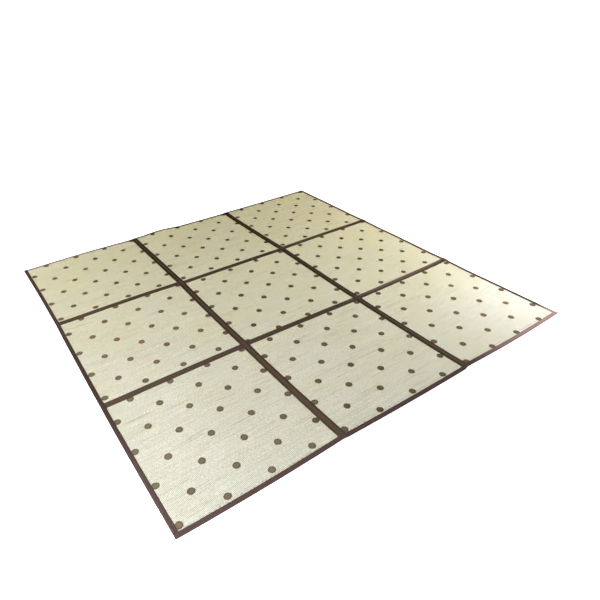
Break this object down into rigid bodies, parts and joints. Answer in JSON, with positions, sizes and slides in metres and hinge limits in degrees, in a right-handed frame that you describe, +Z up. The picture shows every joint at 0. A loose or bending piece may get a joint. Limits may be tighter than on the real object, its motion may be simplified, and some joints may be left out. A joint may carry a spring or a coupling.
{
  "type": "tatami mat",
  "caption": "Square floor mat of woven rush panels with a plain spotted pattern, joined by dark woven tapes and bound round its edges, lying flat.",
  "frame": {"origin": "centre of the mat, on the surface it lies on", "axes": "+Z up out of the mat's upper face; +X along the front edge to the right; +Y from the front edge to the back, along the strips and the long tapes"},
  "size_m": [1.8219, 1.815, 0.0146],
  "materials": {
    "rush": "woven rush, pale green to straw, with dark brown spots",
    "seam_tape": "dark brown woven tape with stitched edges",
    "edge_binding": "dark brown woven binding",
    "back_binding": "brown woven binding, narrower on top"
  },
  "bodies": {
    "root": {"panel_left_front": "rush", "panel_left_centre": "rush", "panel_left_back": "rush", "cross_tape_left_front": "seam_tape", "cross_tape_left_back": "seam_tape", "panel_middle_front": "rush", "panel_middle_centre": "rush", "panel_middle_back": "rush", "cross_tape_middle_front": "seam_tape", "cross_tape_middle_back": "seam_tape", "panel_right_front": "rush", "panel_right_centre": "rush", "panel_right_back": "rush", "cross_tape_right_front": "seam_tape", "cross_tape_right_back": "seam_tape", "long_tape_left": "seam_tape", "long_tape_right": "seam_tape", "binding_front": "edge_binding", "binding_left": "edge_binding", "binding_right": "edge_binding", "corner_fold": "edge_binding", "binding_back": "back_binding"}
  },
  "joints": []
}
